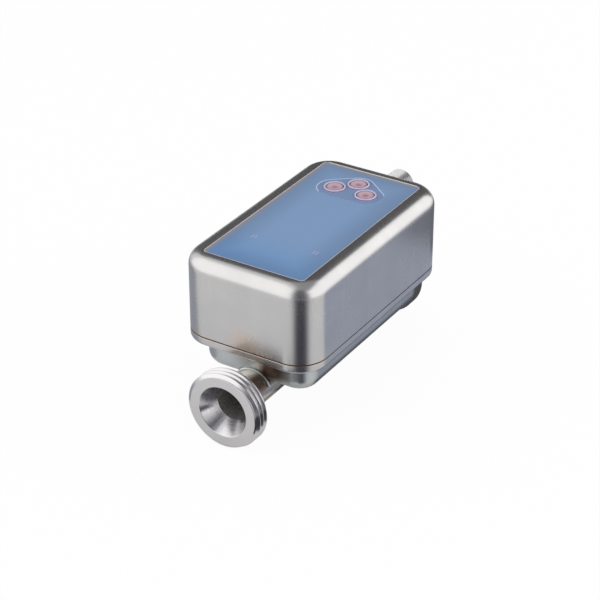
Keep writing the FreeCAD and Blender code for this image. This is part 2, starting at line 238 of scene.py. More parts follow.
def threadedRod(name, thread, start, end):
    # one turn of the thread is drawn, swept along its helix and cut square at both ends
    pitch = thread["pitch"] * mm
    crest = thread["crest"] * mm
    root = thread["root"] * mm
    spareTurns = 3
    turns = math.ceil((end - start) / pitch) + spareTurns
    # shares of the pitch: the crest's place in a turn, half its foot, half its flat and its rounding
    middle = 0.53
    foot = 0.43
    half = 0.05
    soft = 0.03
    first = start - (1 + middle) * pitch
    form = [(0, root), (middle - foot, root), (middle - half - soft, crest - soft * pitch),
            (middle - half, crest), (middle + half, crest),
            (middle + half + soft, crest - soft * pitch), (middle + foot, root), (1, root)]
    rod = drawLine(name, [Vector((first + share * pitch, 0, radius)) for share, radius in form])
    sweep = rod.modifiers.new("sweep", "SCREW")
    sweep.axis = "X"
    sweep.angle = 2 * math.pi
    sweep.screw_offset = pitch
    sweep.iterations = turns
    sweep.steps = thread["steps"]
    sweep.render_steps = thread["steps"]
    applyModifier(rod, sweep)
    tidyMesh(rod)
    for place, keepsAbove in ((start, True), (end, False)):
        openEdit(rod, "VERT", "SELECT")
        bpy.ops.mesh.bisect(plane_co=(place, 0, 0), plane_no=(1, 0, 0), use_fill=True, threshold=cutGap,
                            clear_inner=keepsAbove, clear_outer=not keepsAbove)
        closeEdit()
    tidyMesh(rod)
    return rod


def seat(piece, finish, nodes, body="sensor", angle=35):
    smoothFaces(piece, angle)
    piece.data.materials.clear()
    piece.data.materials.append(finish)
    if nodes:
        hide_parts(*nodes)
    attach(piece, body)


# working with shader nodes

def addNode(tree, kind, inputs=None, **settings):
    item = tree.nodes.new(kind)
    for setting, value in settings.items():
        setattr(item, setting, value)
    for socket, value in (inputs or {}).items():
        if isinstance(value, bpy.types.NodeSocket):
            tree.links.new(value, item.inputs[socket])
        else:
            item.inputs[socket].default_value = value
    return item


def calc(tree, operation, first, second=0.0):
    return addNode(tree, "ShaderNodeMath", {0: first, 1: second}, operation=operation).outputs[0]


def remap(tree, value, low, high, toLow, toHigh, shape="LINEAR"):
    sockets = {"Value": value, "From Min": low, "From Max": high, "To Min": toLow, "To Max": toHigh}
    return addNode(tree, "ShaderNodeMapRange", sockets, interpolation_type=shape).outputs["Result"]


def ease(tree, value, low, high, toLow, toHigh):
    return remap(tree, value, low, high, toLow, toHigh, "SMOOTHSTEP")


def spread(tree, value, low, high):
    # most of a noise lies between 0.3 and 0.7
    return remap(tree, value, 0.3, 0.7, low, high)


def noise(tree, place, scale, detail=2.0, stretch=(1, 1, 1)):
    mapped = addNode(tree, "ShaderNodeMapping", {"Vector": place, "Scale": stretch})
    sockets = {"Vector": mapped.outputs["Vector"], "Scale": scale, "Detail": detail}
    return addNode(tree, "ShaderNodeTexNoise", sockets).outputs["Fac"]


def colourOf(value):
    # a plain colour gets its alpha, a socket stays as it is
    return value if isinstance(value, bpy.types.NodeSocket) else (*value, 1.0)


def blend(tree, factor, first, second, how="MIX"):
    sockets = {0: factor, 6: colourOf(first), 7: colourOf(second)}
    return addNode(tree, "ShaderNodeMix", sockets, data_type="RGBA", blend_type=how).outputs[2]


def vectorMath(tree, operation, first, second=(0, 0, 0)):
    return addNode(tree, "ShaderNodeVectorMath", {0: first, 1: second}, operation=operation)


def away(tree, place, centre):
    return vectorMath(tree, "DISTANCE", place, centre).outputs["Value"]


def splitAxes(tree, place):
    return addNode(tree, "ShaderNodeSeparateXYZ", {"Vector": place}).outputs


def fromAxis(tree, place):
    # distance from the flow axis
    across = vectorMath(tree, "MULTIPLY", place, (0, 1, 1)).outputs["Vector"]
    return vectorMath(tree, "LENGTH", across).outputs["Value"]


def link(tree, value, shader, socket):
    tree.links.new(value, shader.inputs[socket])


def startFinish(name, colour, roughness, metallic=0.0):
    finish = bpy.data.materials.new(name)
    finish.use_nodes = True
    tree = finish.node_tree
    shader = tree.nodes["Principled BSDF"]
    shader.inputs["Base Color"].default_value = colourOf(colour)
    shader.inputs["Roughness"].default_value = roughness
    shader.inputs["Metallic"].default_value = metallic
    place = addNode(tree, "ShaderNodeTexCoord").outputs["Object"]
    return finish, tree, shader, place


def setBump(tree, shader, height, strength, depth):
    bump = addNode(tree, "ShaderNodeBump", {"Height": height, "Strength": strength, "Distance": depth})
    link(tree, bump.outputs["Normal"], shader, "Normal")


def setRough(tree, shader, pattern, low, high):
    link(tree, spread(tree, pattern, low, high), shader, "Roughness")


# sizes read from the frame

hoodLow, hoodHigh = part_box("upper_housing")
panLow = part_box("lower_pan")[0]
trayLow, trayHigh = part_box("tube_tray")
paneLow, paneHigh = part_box("front_window")
headLow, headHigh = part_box("inlet_fitting")
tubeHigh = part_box("measuring_tube")[1]
shellLow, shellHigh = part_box("connector_shell")
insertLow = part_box("connector_insert")[0]
pinLow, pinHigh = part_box("connector_pins")
seamHeight = hoodLow.z
plugHeight = (shellLow.z + shellHigh.z) / 2
keySides = ("left", "right", "top")


def keyCentre(side):
    low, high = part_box("key_" + side)
    return (low + high) / 2


# finishes

def satinSteel(name, dark, light, roughness, scorch=None):
    # drawn sheet: fine upright grain, cloudy sheen, soft streaks, and heat tint along the weld
    look = {"grain": (1900, 1900, 70), "bump": (0.003, 0.004 * mm), "cloud": 55.0, "streak": 130.0,
            "smoother": 0.01, "rougher": 0.02, "grainRough": 0.003, "patchBand": (0.35, 0.6),
            "tint": (0.61, 0.45, 0.32), "tintBand": 1.3 * mm, "tintRagged": (0.4, 1.5), "tintShare": 0.5,
            "tintReach": 26 * mm, "tintAfter": 0.12,
            "blush": 11.0 * mm, "blushRise": 1.0 * mm, "blushShare": 0.75, "blushLeast": 0.5,
            "straw": (0.46, 0.39, 0.32), "strawBand": (0.8 * mm, 3.2 * mm), "brown": (0.20, 0.155, 0.12),
            "brownShadeBand": (3.0 * mm, 8.5 * mm), "brownLeast": 0.65, "lipBand": (0.35 * mm, 0.7 * mm)}
    finish, tree, shader, place = startFinish(name, dark, roughness, 1.0)
    grain = noise(tree, place, 1.0, stretch=look["grain"])
    cloud = noise(tree, place, look["cloud"], 3.0, (1, 1, 1.6))
    streak = noise(tree, place, look["streak"], stretch=(1, 1, 0.1))
    axes = splitAxes(tree, place)
    fromSeam = calc(tree, "ABSOLUTE", calc(tree, "SUBTRACT", seamHeight, axes["Z"]))
    ragged = calc(tree, "MULTIPLY", look["tintBand"], spread(tree, cloud, *look["tintRagged"]))
    reach = calc(tree, "DIVIDE", fromSeam, ragged)
    band = ease(tree, reach, 0.0, 1.0, look["tintShare"], 0.0)
    tintEnd = hoodLow.x + look["tintReach"]
    inletEnd = ease(tree, axes["X"], hoodLow.x, tintEnd, 1.0, look["tintAfter"])
    fromBlush = away(tree, place, Vector((hoodLow.x, 0.0, seamHeight + look["blushRise"])))
    blush = ease(tree, fromBlush, 0.0, look["blush"], look["blushShare"], 0.0)
    patches = remap(tree, cloud, *look["patchBand"], look["blushLeast"], 1.0)
    patchy = calc(tree, "MULTIPLY", blush, patches)
    tint = calc(tree, "MAXIMUM", calc(tree, "MULTIPLY", band, inletEnd), patchy)
    mottled = calc(tree, "ADD", calc(tree, "MULTIPLY", cloud, 0.5), calc(tree, "MULTIPLY", streak, 0.5))
    sheen = blend(tree, spread(tree, mottled, 0, 1), dark, light)
    heated = blend(tree, tint, sheen, look["tint"])
    if scorch:
        # heat brown beside the welded tube, with painted shade where the pan's edge overhangs it and a
        # painted straw highlight at its centre, but the lip's own edge stays bright
        fromScorch = away(tree, place, scorch)
        straw = ease(tree, fromScorch, *look["strawBand"], 1, 0)
        burnt = ease(tree, fromScorch, *look["brownShadeBand"], 1, 0)
        clouded = remap(tree, cloud, *look["patchBand"], look["brownLeast"], 1.0)
        uneven = calc(tree, "MULTIPLY", burnt, clouded)
        fromLip = calc(tree, "SUBTRACT", axes["X"], trayLow.x)
        behindLip = remap(tree, fromLip, *look["lipBand"], 0, 1)
        colours = blend(tree, straw, look["brown"], look["straw"])
        heated = blend(tree, calc(tree, "MULTIPLY", uneven, behindLip), heated, colours)
    link(tree, heated, shader, "Base Color")
    cloudy = spread(tree, cloud, roughness - look["smoother"], roughness + look["rougher"])
    grainy = spread(tree, grain, -look["grainRough"], look["grainRough"])
    link(tree, calc(tree, "ADD", grainy, cloudy), shader, "Roughness")
    setBump(tree, shader, grain, *look["bump"])
    return finish


def turnedSteel(name, colour, roughness, ringScale):
    # lathe marks run round the flow axis and spread the light across them
    look = {"cloud": 90.0, "shade": 0.86, "smoother": 0.04, "rougher": 0.05, "stretch": 0.55,
            "stretchTurn": 0.25, "bump": (0.02, 0.02 * mm)}
    finish, tree, shader, place = startFinish(name, colour, roughness, 1.0)
    travel = calc(tree, "ADD", fromAxis(tree, place), splitAxes(tree, place)["X"])
    sockets = {"W": travel, "Scale": ringScale, "Detail": 3.0}
    rings = addNode(tree, "ShaderNodeTexNoise", sockets, noise_dimensions="1D").outputs["Fac"]
    cloud = noise(tree, place, look["cloud"], 3.0)
    dark = tuple(look["shade"] * part for part in colour)
    link(tree, blend(tree, calc(tree, "MULTIPLY", cloud, rings), colour, dark), shader, "Base Color")
    setRough(tree, shader, rings, roughness - look["smoother"], roughness + look["rougher"])
    turning = addNode(tree, "ShaderNodeTangent", direction_type="RADIAL", axis="X")
    link(tree, turning.outputs[0], shader, "Tangent")
    shader.inputs["Anisotropic"].default_value = look["stretch"]
    shader.inputs["Anisotropic Rotation"].default_value = look["stretchTurn"]
    setBump(tree, shader, rings, *look["bump"])
    return finish


def tubeTint(name):
    # drawn tube: beige tinted steel outside, banded by height and side as painted light: a painted highlight
    # on the pale crown, painted shade on the brown right side and in the dark bottom band, grey between;
    # dull grey scale in the bore
    look = {"litCrown": (0.95, 0.87, 0.77), "burnt": (0.20, 0.15, 0.12), "dull": (0.52, 0.51, 0.52),
            "scale": (0.30, 0.29, 0.27), "pit": (0.15, 0.146, 0.135), "patch": 95.0, "speck": 1300.0,
            "stray": 0.8 * mm, "topBand": (-4.2 * mm, -1.0 * mm), "sideBand": (1.0 * mm, 3.6 * mm),
            "shadedBottomBand": (-2.0 * mm, -0.8 * mm), "boreBand": (0.2 * mm, 0.5 * mm), "pitBand": (0.35, 0.65),
            "metal": (0.6, 0.2), "rough": (0.2, 0.6), "bump": (0.05, 0.02 * mm)}
    finish, tree, shader, place = startFinish(name, look["litCrown"], 0.2, 1.0)
    fromBore = calc(tree, "SUBTRACT", fromAxis(tree, place), flowLine["bore"])
    bore = remap(tree, fromBore, *look["boreBand"], 1, 0)
    patch = noise(tree, place, look["patch"], 3.0)
    speck = noise(tree, place, look["speck"], 3.0)
    axes = splitAxes(tree, place)
    stray = spread(tree, patch, -look["stray"], look["stray"])
    topShare = ease(tree, calc(tree, "ADD", axes["Y"], stray), *look["topBand"], 0, 1)
    sideShare = ease(tree, calc(tree, "ADD", axes["Z"], stray), *look["sideBand"], 0, 1)
    lowShare = ease(tree, axes["Z"], *look["shadedBottomBand"], 0, 1)
    # painted highlight on the upper left of the crown, painted shade in brown on the right side
    crown = blend(tree, topShare, look["burnt"], look["litCrown"])
    flank = blend(tree, sideShare, look["dull"], crown)
    # painted shade: dark brown band along the tube's bottom
    outside = blend(tree, lowShare, look["burnt"], flank)
    pitted = blend(tree, remap(tree, speck, *look["pitBand"], 0, 1), look["pit"], look["scale"])
    link(tree, blend(tree, bore, outside, pitted), shader, "Base Color")
    link(tree, remap(tree, bore, 0, 1, *look["metal"]), shader, "Metallic")
    link(tree, remap(tree, bore, 0, 1, *look["rough"]), shader, "Roughness")
    setBump(tree, shader, speck, *look["bump"])
    return finish


def weldTint(name):
    # dark oxide in a fine ripple along the seam, browner at the inlet end
    look = {"grey": (0.06, 0.06, 0.066), "brown": (0.085, 0.045, 0.025), "soot": (0.03, 0.026, 0.024),
            "brownShadeBand": (4 * mm, 30 * mm), "ripple": 1800.0, "rough": (0.45, 0.65),
            "bump": (0.5, 0.05 * mm)}
    finish, tree, shader, place = startFinish(name, look["grey"], 0.55, 0.6)
    ripple = noise(tree, place, look["ripple"], stretch=(1, 1, 0.2))
    fromInlet = calc(tree, "SUBTRACT", splitAxes(tree, place)["X"], hoodLow.x)
    brown = ease(tree, fromInlet, *look["brownShadeBand"], 1, 0)
    oxide = blend(tree, brown, look["grey"], look["brown"])
    link(tree, blend(tree, ripple, oxide, look["soot"]), shader, "Base Color")
    setRough(tree, shader, ripple, *look["rough"])
    setBump(tree, shader, ripple, *look["bump"])
    return finish


def blueWindow(name, deep, pale, edge):
    # printed blue behind a glossy face: deeper at the inlet end and paler towards the outlet as a painted
    # reflection, greyer near the border as painted shade, tan along two sides
    look = {"deepShare": 0.32, "cloud": 22.0, "cloudShare": 0.12, "speck": 1500.0, "rough": (0.10, 0.20),
            "bump": (0.03, 0.01 * mm), "coat": 0.4, "coatRough": 0.06, "border": 14 * mm,
            "borderShade": (0.81, 0.79, 0.79), "tanBand": (0.7 * mm, 2.6 * mm), "tanShare": 0.9}
    finish, tree, shader, place = startFinish(name, deep, 0.16)
    axes = splitAxes(tree, place)
    cloud = noise(tree, place, look["cloud"])
    speck = noise(tree, place, look["speck"])
    deepEnd = paneLow.x + look["deepShare"] * (paneHigh.x - paneLow.x)
    # painted reflection: the blue pales from the inlet end along the window
    run = ease(tree, axes["X"], paneLow.x, deepEnd, 0, 1)
    cloudy = spread(tree, cloud, -look["cloudShare"], look["cloudShare"])
    printed = blend(tree, calc(tree, "ADD", run, cloudy), deep, pale)
    fromOutlet = calc(tree, "SUBTRACT", paneHigh.x, axes["X"])
    fromInlet = calc(tree, "SUBTRACT", axes["X"], paneLow.x)
    fromLeft = calc(tree, "SUBTRACT", paneHigh.y, axes["Y"])
    fromRight = calc(tree, "SUBTRACT", axes["Y"], paneLow.y)
    tanSide = calc(tree, "MINIMUM", fromOutlet, fromLeft)
    anySide = calc(tree, "MINIMUM", tanSide, calc(tree, "MINIMUM", fromInlet, fromRight))
    # painted shade: greyer towards every border of the window
    border = ease(tree, anySide, 0.0, look["border"], 1, 0)
    greyed = blend(tree, border, printed, look["borderShade"], "MULTIPLY")
    rim = ease(tree, tanSide, *look["tanBand"], look["tanShare"], 0.0)
    link(tree, blend(tree, rim, greyed, edge), shader, "Base Color")
    setRough(tree, shader, cloud, *look["rough"])
    shader.inputs["Coat Weight"].default_value = look["coat"]
    shader.inputs["Coat Roughness"].default_value = look["coatRough"]
    setBump(tree, shader, speck, *look["bump"])
    return finish


def moulded(name, colour, roughness):
    # moulded or cast surface with a fine eroded grain
    look = {"grain": 0.25 * mm, "bump": (0.15, 0.02 * mm), "cloud": 120.0, "paler": 1.12, "lift": 0.004,
            "darker": 0.88, "roughSpan": 0.07}
    finish, tree, shader, place = startFinish(name, colour, roughness)
    grain = noise(tree, place, 1.0 / look["grain"], 3.0)
    cloud = noise(tree, place, look["cloud"])
    pale = tuple(min(1.0, look["paler"] * part + look["lift"]) for part in colour)
    dark = tuple(look["darker"] * part for part in colour)
    link(tree, blend(tree, cloud, dark, pale), shader, "Base Color")
    span = look["roughSpan"]
    setRough(tree, shader, grain, roughness - span, roughness + span)
    setBump(tree, shader, grain, *look["bump"])
    return finish


def keyRing(name):
    # pale glossy ring with painted reddish shade round its foot where it meets the window
    look = {"dark": (0.52, 0.47, 0.63), "light": (0.60, 0.55, 0.70), "foot": (0.36, 0.14, 0.22),
            "footShadeBand": (0.30 * mm, 0.45 * mm), "grain": 1800.0, "rough": (0.2, 0.32),
            "bump": (0.05, 0.01 * mm)}
    finish, tree, shader, place = startFinish(name, look["light"], 0.25)
    grain = noise(tree, place, look["grain"])
    fromPane = calc(tree, "SUBTRACT", splitAxes(tree, place)["Z"], paneHigh.z)
    # painted reddish shade just above the window
    foot = remap(tree, fromPane, *look["footShadeBand"], 1, 0)
    pale = blend(tree, grain, look["dark"], look["light"])
    link(tree, blend(tree, foot, pale, look["foot"]), shader, "Base Color")
    setRough(tree, shader, grain, *look["rough"])
    setBump(tree, shader, grain, *look["bump"])
    return finish


def keyPink(name, centre):
    # pink cap, deeper in the dimple and greyer towards its edge
    look = {"dark": (0.49, 0.33, 0.39), "light": (0.56, 0.40, 0.45), "core": (0.40, 0.20, 0.29),
            "edge": (0.32, 0.25, 0.37), "coreBand": (0.6 * mm, 1.9 * mm), "edgeBand": (2.7 * mm, 3.3 * mm),
            "grain": 1500.0, "rough": (0.32, 0.46), "bump": (0.08, 0.01 * mm)}
    finish, tree, shader, place = startFinish(name, look["light"], 0.38)
    flat = vectorMath(tree, "MULTIPLY", place, (1, 1, 0)).outputs["Vector"]
    radius = away(tree, flat, Vector((centre.x, centre.y, 0)))
    grain = noise(tree, place, look["grain"], 3.0)
    inner = ease(tree, radius, *look["coreBand"], 1, 0)
    outer = ease(tree, radius, *look["edgeBand"], 0, 1)
    core = blend(tree, inner, blend(tree, grain, look["dark"], look["light"]), look["core"])
    link(tree, blend(tree, outer, core, look["edge"]), shader, "Base Color")
    setRough(tree, shader, grain, *look["rough"])
    setBump(tree, shader, grain, *look["bump"])
    return finish


def boardGreen(name):
    # solder mask over a grid of tracks
    look = {"dark": (0.02, 0.15, 0.06), "light": (0.03, 0.20, 0.08), "track": (0.06, 0.28, 0.12),
            "grid": 180.0, "trackWide": 0.03, "grain": 2200.0, "rough": (0.24, 0.38),
            "bump": (0.3, 0.03 * mm)}
    finish, tree, shader, place = startFinish(name, look["light"], 0.3)
    sockets = {"Vector": place, "Scale": look["grid"], "Mortar Size": look["trackWide"],
               "Color1": colourOf(look["dark"]), "Color2": colourOf(look["light"]),
               "Mortar": colourOf(look["track"])}
    tracks = addNode(tree, "ShaderNodeTexBrick", sockets).outputs
    grain = noise(tree, place, look["grain"])
    link(tree, tracks["Color"], shader, "Base Color")
    setRough(tree, shader, grain, *look["rough"])
    setBump(tree, shader, tracks["Fac"], *look["bump"])
    return finish


hoodSteel = satinSteel("hood satin steel", (0.49, 0.485, 0.49), (0.555, 0.55, 0.545), 0.265)
# centre of the heat brown with painted shade and a painted straw highlight on the tray
trayScorch = Vector((trayLow.x + mm, -8.6 * mm, 9.4 * mm))  # beside the welded tube
traySteel = satinSteel("tray pickled steel", (0.46, 0.485, 0.495), (0.52, 0.545, 0.55), 0.32, trayScorch)
headSteel = turnedSteel("turned head steel", (0.60, 0.59, 0.60), 0.21, 2600.0)
strapSteel = turnedSteel("strap steel", (0.58, 0.57, 0.56), 0.25, 900.0)
plugSteel = turnedSteel("bright plug steel", (0.52, 0.52, 0.52), 0.24, 1800.0)
seamSteel = weldTint("weld tint")
paneBlue = blueWindow("window blue", (0.165, 0.315, 0.585), (0.216, 0.342, 0.562), (0.27, 0.26, 0.30))
# deeper blue of the key field: its own colour with painted shade below the keys
fieldBlue = blueWindow("key field blue", (0.17, 0.27, 0.47), (0.195, 0.285, 0.48), (0.195, 0.285, 0.48))
# colour of the painted highlight along the key field's outlet edge
linePale = moulded("pale print", (0.44, 0.55, 0.74), 0.4)
markLilac = moulded("lilac print", (0.34, 0.36, 0.60), 0.4)
# pale sealant colour, partly a painted highlight along the glass edge
beadPale = moulded("clear sealant", (0.50, 0.50, 0.53), 0.3)
ringPale = keyRing("pale key ring")
sealBlack = moulded("seal rubber", (0.025, 0.025, 0.027), 0.65)
frameDark = moulded("carrier plastic", (0.05, 0.05, 0.06), 0.5)
insertBlack = moulded("insert plastic", (0.028, 0.028, 0.03), 0.45)
panelDark = moulded("display panel", (0.06, 0.08, 0.10), 0.2)
cardGreen = boardGreen("board green")
pillarBrass = turnedSteel("pillar brass", (0.75, 0.58, 0.25), 0.25, 1500.0)
wedgeAmber = moulded("wedge plastic", (0.55, 0.42, 0.22), 0.4)
discCeramic = moulded("disc ceramic", (0.75, 0.72, 0.62), 0.45)
pinGold = turnedSteel("pin gold", (0.83, 0.65, 0.28), 0.2, 2500.0)
print("finishes made")


# hood: drawn shell with the window opening and the hole for the plug

hood = {"wall": 1.0 * mm, "corner": 12.8 * mm, "topRound": 6.3 * mm, "edge": 0.08 * mm,
        "openingGap": 0.2 * mm, "openingCorner": 0.6 * mm, "openingEdge": 0.3 * mm,
        "plugRadius": 6.0 * mm, "plugGap": 0.15 * mm}


def onOpening(point):
    spare = hood["openingGap"] + hair
    inside = paneLow.x - spare < point.x < paneHigh.x + spare and abs(point.y) < paneHigh.y + spare
    return inside and point.z > hoodHigh.z - hair


def makeHood():
    wall = hood["wall"]
    corner = hood["corner"]
    shell = drawnBlock("hood", hoodLow, hoodHigh, corner, hood["topRound"], hoodHigh.z)
    roomLow = hoodLow + Vector((wall, wall, -overcut))
    roomHigh = hoodHigh - Vector((wall, wall, wall))
    room = drawnBlock("hoodRoom", roomLow, roomHigh, corner - wall, hood["topRound"] - wall, roomHigh.z)
    combine(shell, room, "DIFFERENCE")
    gap = Vector((hood["openingGap"], hood["openingGap"], overcut))
    opening = uprightBlock("hoodOpening", paneLow - gap, paneHigh + gap, hood["openingCorner"], steps=4)
    combine(shell, opening, "DIFFERENCE")
    roundEdges(shell, lambda a, b: onOpening(a) and onOpening(b), hood["openingEdge"], steps=3)
    holeRadius = hood["plugRadius"] + hood["plugGap"]
    hole = addRod("plugHole", hoodHigh.x - overcut, hoodHigh.x + overcut, holeRadius, plugHeight)
    combine(shell, hole, "DIFFERENCE")
    softenEdges(shell, hood["edge"])
    seat(shell, hoodSteel, ["upper_housing"])


makeHood()
print("hood made")


# lower pan and the weld bead in the seam

pan = {"wall": 1.0 * mm, "corner": 12.8 * mm, "lowRound": 1.5 * mm, "seamRound": 0.95 * mm, "edge": 0.2 * mm,
       "trayCorner": 9.0 * mm, "trayLip": 0.9 * mm, "beadDepth": 0.03 * mm, "beadBelow": 0.62 * mm,
       "beadAbove": 0.1 * mm, "beadWide": 0.6 * mm, "beadSoft": 0.05 * mm}


def makePan():
    wall = pan["wall"]
    panHigh = Vector((hoodHigh.x, hoodHigh.y, seamHeight))
    shell = drawnBlock("lowerPan", panLow, panHigh, pan["corner"], pan["lowRound"], panLow.z)
    roundEdges(shell, lambda a, b: min(a.z, b.z) > seamHeight - hair, pan["seamRound"], steps=6)
    roomLow = panLow + Vector((wall, wall, wall))
    roomHigh = panHigh + Vector((-wall, -wall, overcut))
    room = drawnBlock("panRoom", roomLow, roomHigh, pan["corner"] - wall, pan["lowRound"] - wall, roomLow.z)
    combine(shell, room, "DIFFERENCE")
    step = Vector((pan["trayLip"] + wall, wall, 0))
    mouthLow = trayLow + step
    mouthHigh = trayHigh - step
    mouthLow.z = panLow.z - overcut
    mouthHigh.z = panLow.z + overcut
    mouth = uprightBlock("panMouth", mouthLow, mouthHigh, pan["trayCorner"] - wall)
    combine(shell, mouth, "DIFFERENCE")
    softenEdges(shell, pan["edge"])
    seat(shell, hoodSteel, ["lower_pan"])


def makeSeamBead():
    depth = pan["beadDepth"]
    wide = pan["beadWide"]
    outerLow = Vector((hoodLow.x + depth, hoodLow.y + depth, seamHeight - pan["beadBelow"]))
    outerHigh = Vector((hoodHigh.x - depth, hoodHigh.y - depth, seamHeight + pan["beadAbove"]))
    bead = uprightBlock("seamBead", outerLow, outerHigh, pan["corner"] - depth)
    innerLow = outerLow + Vector((wide, wide, -overcut))
    innerHigh = outerHigh + Vector((-wide, -wide, overcut))
    inner = uprightBlock("beadRoom", innerLow, innerHigh, pan["corner"] - depth - wide)
    combine(bead, inner, "DIFFERENCE")
    softenEdges(bead, pan["beadSoft"])
    seat(bead, seamSteel, [])


makePan()
makeSeamBead()
print("lower pan and seam made")


# tray, pressed up into an arch over the tube

tray = {"corner": 9.0 * mm, "lowRound": 5.8 * mm, "lip": 0.9 * mm, "lipRound": 0.65 * mm, "lipSteps": 5,
        "archRadius": 8.75 * mm, "archCore": 1.0 * mm, "archSteps": 128, "bedRadius": 7.75 * mm,
        "floorSkip": 0.05 * mm, "edge": 0.2 * mm}


def makeTray():
    lip = Vector((tray["lip"], 0, 0))
    body = drawnBlock("tubeTray", trayLow + lip, trayHigh - lip, tray["corner"], tray["lowRound"], trayLow.z)
    soft = tray["lipRound"]
    shoulder = tray["archRadius"] - soft
    steps = tray["lipSteps"]
    near = arcPoints((trayLow.x + soft, shoulder), soft, 180, 90, steps)
    far = arcPoints((trayHigh.x - soft, shoulder), soft, 90, 0, steps)
    outline = [(trayLow.x, tray["archCore"])] + near + far + [(trayHigh.x, tray["archCore"])]
    arch = turnRound("trayArch", outline, (0, 0, 0), (1, 0, 0), tray["archSteps"])
    openEdit(arch, "VERT", "SELECT")
    bpy.ops.mesh.bisect(plane_co=(0, 0, trayLow.z + tray["floorSkip"]), plane_no=(0, 0, 1), use_fill=True,
                        threshold=cutGap, clear_inner=True)
    closeEdit()
    combine(body, arch, "UNION")
    bed = addRod("trayBed", trayLow.x - overcut, trayHigh.x + overcut, tray["bedRadius"])
    combine(body, bed, "DIFFERENCE")
    softenEdges(body, tray["edge"])
    seat(body, traySteel, ["tube_tray"])


makeTray()
print("tray made")


# flow line: drawn tube with a threaded head at each end

flowLine = {"mouth": 10.8 * mm, "face": 15.0 * mm, "slope": 0.62, "bore": 6.7 * mm, "tubeRadius": 7.7 * mm,
            "socket": 7.75 * mm, "soft": 0.18 * mm, "braze": 0.7 * mm, "brazeSteps": 6, "steps": 128,
            "thread": {"pitch": 2.309, "crest": 16.4, "root": 15.05, "steps": 128},
            "threadSpare": 1.0 * mm, "smooth": 28}


def makeHead(name, node, side):
    length = headHigh.x - headLow.x
    outer = abs(headLow.x)
    inner = outer - length
    tubeEnd = tubeHigh.x
    soft = flowLine["soft"]
    spare = flowLine["threadSpare"]
    wide = flowLine["thread"]["crest"] * mm + spare
    rise = (wide - flowLine["face"]) * flowLine["slope"]
    outline = [(outer, flowLine["mouth"] + soft), (outer, flowLine["face"] - soft),
               (outer - 0.5 * soft, flowLine["face"]), (outer - rise, wide), (inner + rise, wide),
               (inner, flowLine["face"]), (inner, flowLine["socket"]), (tubeEnd, flowLine["socket"]),
               (tubeEnd, flowLine["bore"]), (outer - soft, flowLine["mouth"])]
    head = threadedRod(name, flowLine["thread"], min(side * outer, side * inner) - spare,
                       max(side * outer, side * inner) + spare)
    form = turnRound(name + "Form", outline, (0, 0, 0), (side, 0, 0), flowLine["steps"])
    combine(head, form, "INTERSECT")
    seat(head, headSteel, [node], angle=flowLine["smooth"])


def makeTube():
    braze = flowLine["braze"]
    radius = flowLine["tubeRadius"]
    back = abs(headHigh.x)
    end = tubeHigh.x
    fillet = arcPoints((back - braze, radius + braze), braze, 0, -90, flowLine["brazeSteps"])
    half = [(end, flowLine["bore"]), (end, radius), (back, radius)] + fillet
    mirror = [(-place, height) for place, height in reversed(half)]
    tube = turnRound("measuringTube", half + mirror, (0, 0, 0), (1, 0, 0), flowLine["steps"])
    seat(tube, tubeTint("tinted tube steel"), ["measuring_tube"])


makeHead("inletHead", "inlet_fitting", -1)
makeHead("outletHead", "outlet_fitting", 1)
makeTube()
print("flow line made")


# window pane with its three key holes, the raised key field, a painted highlight line and marks

window = {"corner": 1.8 * mm, "edge": 0.3 * mm, "keyHole": 3.8 * mm,
          "fieldSide": 7.1 * mm, "fieldTop": 6.2 * mm, "fieldRise": 0.12 * mm, "fieldSunk": 0.05 * mm,
          "fieldEdge": 0.1 * mm, "fieldSteps": 14,
          "lineOut": 0.35 * mm, "lineStart": 150, "lineEnd": -58, "lineWidth": 0.55 * mm,
          "lineRise": 0.03 * mm,
          "marks": [(-23.1 * mm, 12.4 * mm), (-21.9 * mm, -15.1 * mm)], "markLong": 2.8 * mm,
          "markWide": 0.7 * mm, "markGap": 1.4 * mm, "markCorner": 0.15 * mm,
          "beadIn": 0.22 * mm, "beadDeep": 0.45 * mm, "beadRise": 0.1 * mm, "beadSoft": 0.08 * mm}


def cutKeyHoles(piece):
    for side in keySides:
        centre = keyCentre(side)
        hole = addPost("keyHole", centre.x, centre.y, paneLow.z - overcut, paneHigh.z + overcut,
                       window["keyHole"])
        combine(piece, hole, "DIFFERENCE")


def fieldOutline(spare, fromAngle, toAngle):
    # round the three keys: left end, outlet corner and right end
    left, right, top = (keyCentre(side) for side in keySides)
    slant = math.degrees(math.atan2(top.x - left.x, left.y - top.y))
    sideRadius = window["fieldSide"] + spare
    topRadius = window["fieldTop"] + spare
    steps = window["fieldSteps"]
    outline = arcPoints(left, sideRadius, fromAngle, 90 - slant, steps)
    outline += arcPoints(top, topRadius, 90 - slant, slant - 90, steps)
    outline += arcPoints(right, sideRadius, slant - 90, toAngle, steps)
    return outline


def makePane():
    pane = drawnBlock("windowPane", paneLow, paneHigh, window["corner"], window["edge"], paneHigh.z,
                      steps=2)
    cutKeyHoles(pane)
    seat(pane, paneBlue, ["front_window"])


